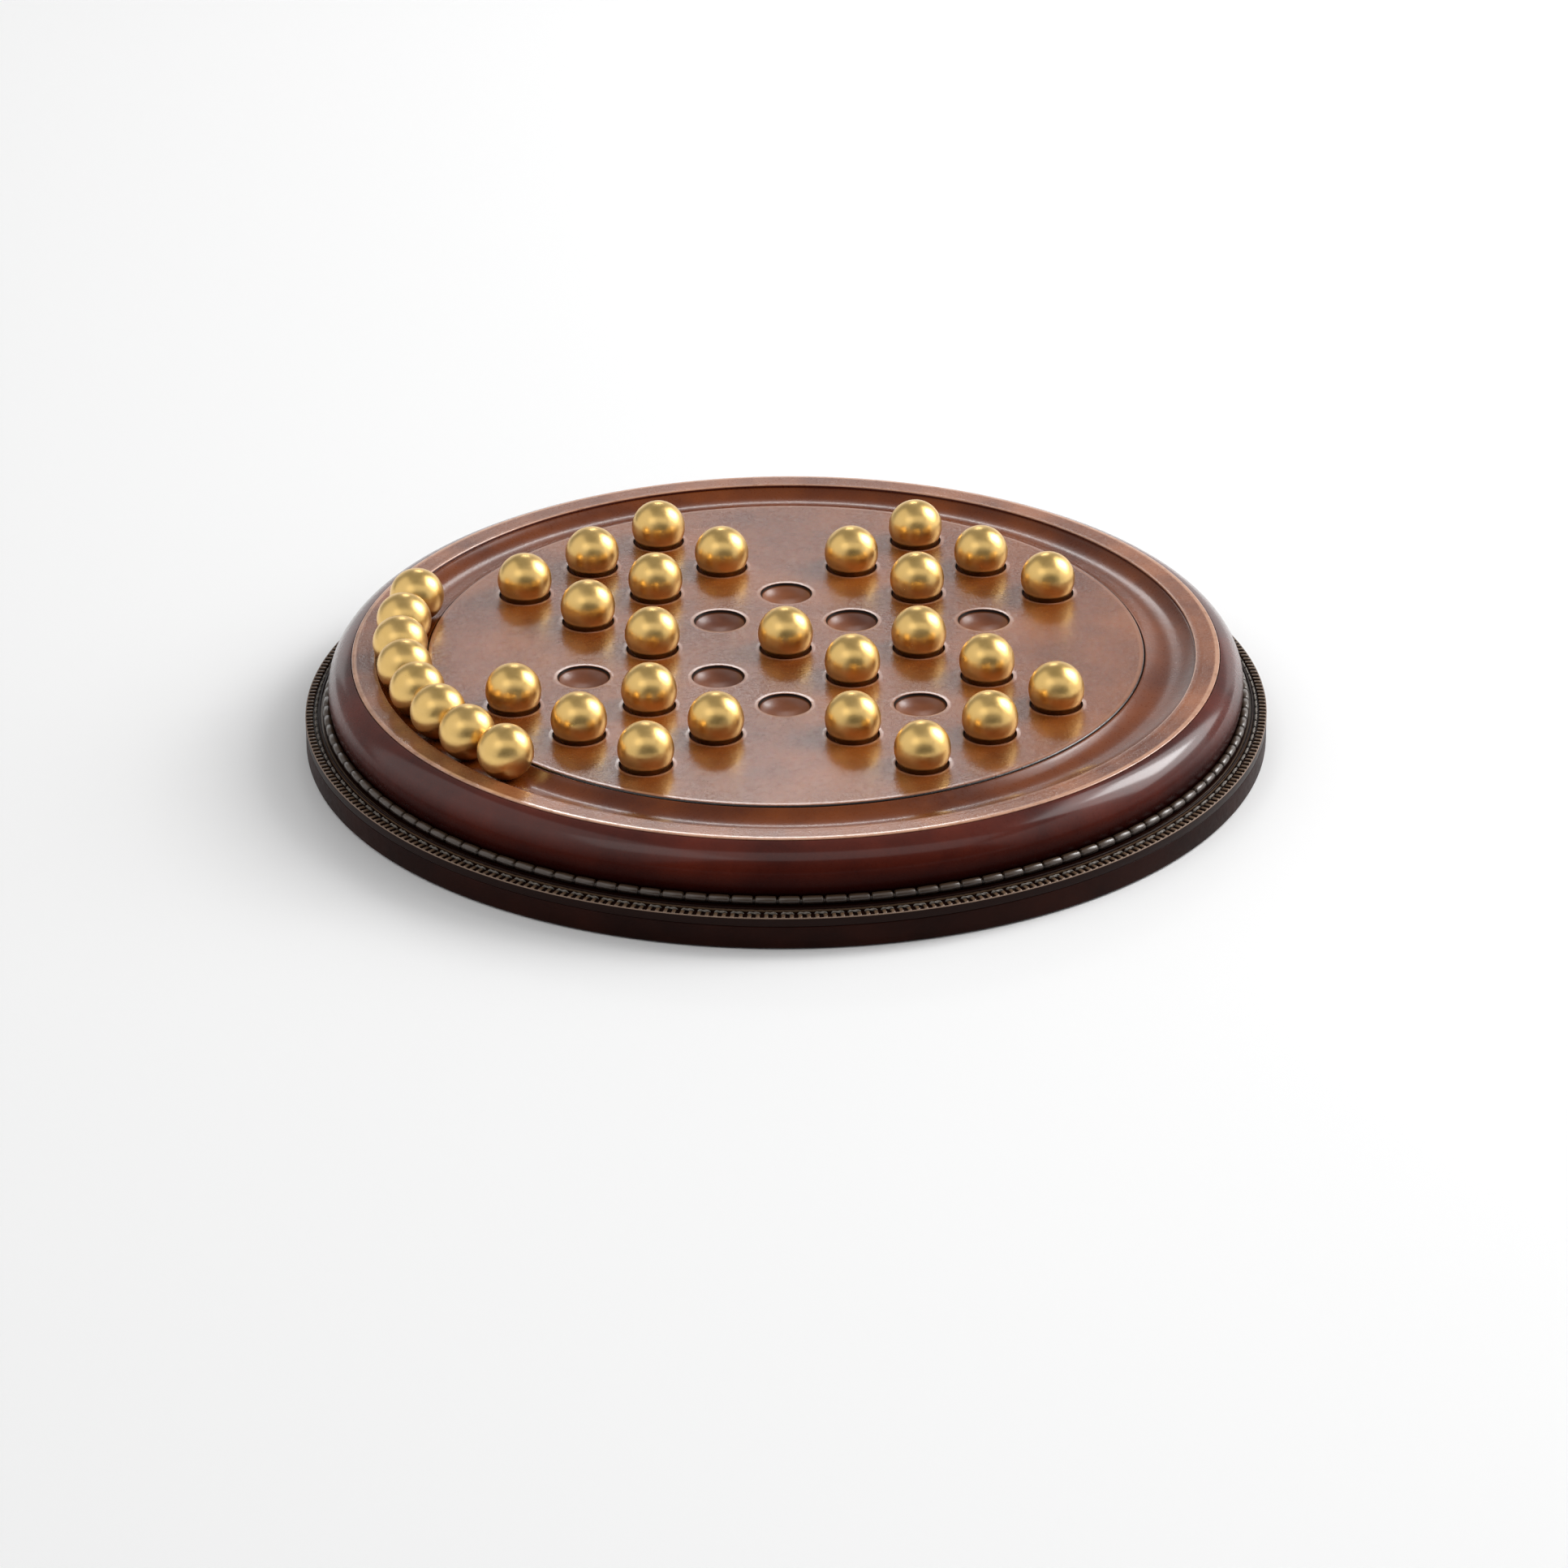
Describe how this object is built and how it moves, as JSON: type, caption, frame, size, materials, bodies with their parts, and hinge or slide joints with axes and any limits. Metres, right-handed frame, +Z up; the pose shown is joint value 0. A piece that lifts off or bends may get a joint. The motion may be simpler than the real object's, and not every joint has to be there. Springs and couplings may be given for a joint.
{
  "type": "peg solitaire board",
  "caption": "Round peg solitaire board in patinated brown leather, welted and stitched like a shoe, with dished holes, a ring gutter and loose satin brass balls.",
  "frame": {"origin": "centre of the board's underside, on the surface that it stands on", "axes": "+Z up along the board's axis; -Y towards the side from which the captured balls lie at the left"},
  "size_m": [0.3499, 0.35, 0.0497],
  "materials": {
    "ball_brass": "satin brushed",
    "disc_leather": "burnished patina, glossy",
    "gutter_leather": "burnished patina, glossy",
    "rim_leather": "burnished patina, glossy",
    "wall_leather": "burnished patina, glossy",
    "edge_leather": "waxed edge, satin",
    "welt_leather": "tooled, satin",
    "thread": "waxed twisted linen",
    "beech": "turned, unfinished",
    "plywood": "sanded, unfinished",
    "pad_felt": "matt felt",
    "screw_steel": "zinc plated"
  },
  "bodies": {
    "board": {"base_pad": "pad_felt", "base_board": "plywood", "edge_band": "edge_leather", "base_screws": "screw_steel", "locating_dowels": "beech", "ring_core": "beech", "gutter_lining": "gutter_leather", "rim_leather": "rim_leather", "wall_leather": "wall_leather", "notched_bead": "welt_leather", "welt": "welt_leather", "welt_stitches": "thread", "disc_core": "beech", "disc_leather": "disc_leather"},
    "ball_a3": {"ball_a3": "ball_brass"},
    "ball_a4": {"ball_a4": "ball_brass"},
    "ball_a5": {"ball_a5": "ball_brass"},
    "ball_b3": {"ball_b3": "ball_brass"},
    "ball_b4": {"ball_b4": "ball_brass"},
    "ball_b5": {"ball_b5": "ball_brass"},
    "ball_c1": {"ball_c1": "ball_brass"},
    "ball_c2": {"ball_c2": "ball_brass"},
    "ball_c5": {"ball_c5": "ball_brass"},
    "ball_c7": {"ball_c7": "ball_brass"},
    "ball_d1": {"ball_d1": "ball_brass"},
    "ball_d2": {"ball_d2": "ball_brass"},
    "ball_d4": {"ball_d4": "ball_brass"},
    "ball_d6": {"ball_d6": "ball_brass"},
    "ball_d7": {"ball_d7": "ball_brass"},
    "ball_e1": {"ball_e1": "ball_brass"},
    "ball_e3": {"ball_e3": "ball_brass"},
    "ball_e4": {"ball_e4": "ball_brass"},
    "ball_e6": {"ball_e6": "ball_brass"},
    "ball_e7": {"ball_e7": "ball_brass"},
    "ball_f3": {"ball_f3": "ball_brass"},
    "ball_f5": {"ball_f5": "ball_brass"},
    "ball_g3": {"ball_g3": "ball_brass"},
    "ball_g4": {"ball_g4": "ball_brass"},
    "ball_g5": {"ball_g5": "ball_brass"},
    "gutter_ball_1": {"gutter_ball_1": "ball_brass"},
    "gutter_ball_2": {"gutter_ball_2": "ball_brass"},
    "gutter_ball_3": {"gutter_ball_3": "ball_brass"},
    "gutter_ball_4": {"gutter_ball_4": "ball_brass"},
    "gutter_ball_5": {"gutter_ball_5": "ball_brass"},
    "gutter_ball_6": {"gutter_ball_6": "ball_brass"},
    "gutter_ball_7": {"gutter_ball_7": "ball_brass"},
    "gutter_ball_8": {"gutter_ball_8": "ball_brass"}
  },
  "joints": [
    {"name": "lift_a3", "type": "slide", "parent": "board", "child": "ball_a3", "axis": [0, 0, 1], "range_m": [0, 0.03]},
    {"name": "lift_a4", "type": "slide", "parent": "board", "child": "ball_a4", "axis": [0, 0, 1], "range_m": [0, 0.03]},
    {"name": "lift_a5", "type": "slide", "parent": "board", "child": "ball_a5", "axis": [0, 0, 1], "range_m": [0, 0.03]},
    {"name": "lift_b3", "type": "slide", "parent": "board", "child": "ball_b3", "axis": [0, 0, 1], "range_m": [0, 0.03]},
    {"name": "lift_b4", "type": "slide", "parent": "board", "child": "ball_b4", "axis": [0, 0, 1], "range_m": [0, 0.03]},
    {"name": "lift_b5", "type": "slide", "parent": "board", "child": "ball_b5", "axis": [0, 0, 1], "range_m": [0, 0.03]},
    {"name": "lift_c1", "type": "slide", "parent": "board", "child": "ball_c1", "axis": [0, 0, 1], "range_m": [0, 0.03]},
    {"name": "lift_c2", "type": "slide", "parent": "board", "child": "ball_c2", "axis": [0, 0, 1], "range_m": [0, 0.03]},
    {"name": "lift_c5", "type": "slide", "parent": "board", "child": "ball_c5", "axis": [0, 0, 1], "range_m": [0, 0.03]},
    {"name": "lift_c7", "type": "slide", "parent": "board", "child": "ball_c7", "axis": [0, 0, 1], "range_m": [0, 0.03]},
    {"name": "lift_d1", "type": "slide", "parent": "board", "child": "ball_d1", "axis": [0, 0, 1], "range_m": [0, 0.03]},
    {"name": "lift_d2", "type": "slide", "parent": "board", "child": "ball_d2", "axis": [0, 0, 1], "range_m": [0, 0.03]},
    {"name": "lift_d4", "type": "slide", "parent": "board", "child": "ball_d4", "axis": [0, 0, 1], "range_m": [0, 0.03]},
    {"name": "lift_d6", "type": "slide", "parent": "board", "child": "ball_d6", "axis": [0, 0, 1], "range_m": [0, 0.03]},
    {"name": "lift_d7", "type": "slide", "parent": "board", "child": "ball_d7", "axis": [0, 0, 1], "range_m": [0, 0.03]},
    {"name": "lift_e1", "type": "slide", "parent": "board", "child": "ball_e1", "axis": [0, 0, 1], "range_m": [0, 0.03]},
    {"name": "lift_e3", "type": "slide", "parent": "board", "child": "ball_e3", "axis": [0, 0, 1], "range_m": [0, 0.03]},
    {"name": "lift_e4", "type": "slide", "parent": "board", "child": "ball_e4", "axis": [0, 0, 1], "range_m": [0, 0.03]},
    {"name": "lift_e6", "type": "slide", "parent": "board", "child": "ball_e6", "axis": [0, 0, 1], "range_m": [0, 0.03]},
    {"name": "lift_e7", "type": "slide", "parent": "board", "child": "ball_e7", "axis": [0, 0, 1], "range_m": [0, 0.03]},
    {"name": "lift_f3", "type": "slide", "parent": "board", "child": "ball_f3", "axis": [0, 0, 1], "range_m": [0, 0.03]},
    {"name": "lift_f5", "type": "slide", "parent": "board", "child": "ball_f5", "axis": [0, 0, 1], "range_m": [0, 0.03]},
    {"name": "lift_g3", "type": "slide", "parent": "board", "child": "ball_g3", "axis": [0, 0, 1], "range_m": [0, 0.03]},
    {"name": "lift_g4", "type": "slide", "parent": "board", "child": "ball_g4", "axis": [0, 0, 1], "range_m": [0, 0.03]},
    {"name": "lift_g5", "type": "slide", "parent": "board", "child": "ball_g5", "axis": [0, 0, 1], "range_m": [0, 0.03]},
    {"name": "roll_1", "type": "hinge", "parent": "board", "child": "gutter_ball_1", "pos_m": [0, 0, 0.03965], "axis": [0, 0, 1], "continuous": true},
    {"name": "roll_2", "type": "hinge", "parent": "board", "child": "gutter_ball_2", "pos_m": [0, 0, 0.03965], "axis": [0, 0, 1], "continuous": true},
    {"name": "roll_3", "type": "hinge", "parent": "board", "child": "gutter_ball_3", "pos_m": [0, 0, 0.03965], "axis": [0, 0, 1], "continuous": true},
    {"name": "roll_4", "type": "hinge", "parent": "board", "child": "gutter_ball_4", "pos_m": [0, 0, 0.03965], "axis": [0, 0, 1], "continuous": true},
    {"name": "roll_5", "type": "hinge", "parent": "board", "child": "gutter_ball_5", "pos_m": [0, 0, 0.03965], "axis": [0, 0, 1], "continuous": true},
    {"name": "roll_6", "type": "hinge", "parent": "board", "child": "gutter_ball_6", "pos_m": [0, 0, 0.03965], "axis": [0, 0, 1], "continuous": true},
    {"name": "roll_7", "type": "hinge", "parent": "board", "child": "gutter_ball_7", "pos_m": [0, 0, 0.03965], "axis": [0, 0, 1], "continuous": true},
    {"name": "roll_8", "type": "hinge", "parent": "board", "child": "gutter_ball_8", "pos_m": [0, 0, 0.03965], "axis": [0, 0, 1], "continuous": true}
  ],
  "couplings": [
    {"joint": "roll_2", "follows": "roll_1", "ratio": 1},
    {"joint": "roll_3", "follows": "roll_1", "ratio": 1},
    {"joint": "roll_4", "follows": "roll_1", "ratio": 1},
    {"joint": "roll_5", "follows": "roll_1", "ratio": 1},
    {"joint": "roll_6", "follows": "roll_1", "ratio": 1},
    {"joint": "roll_7", "follows": "roll_1", "ratio": 1},
    {"joint": "roll_8", "follows": "roll_1", "ratio": 1}
  ]
}
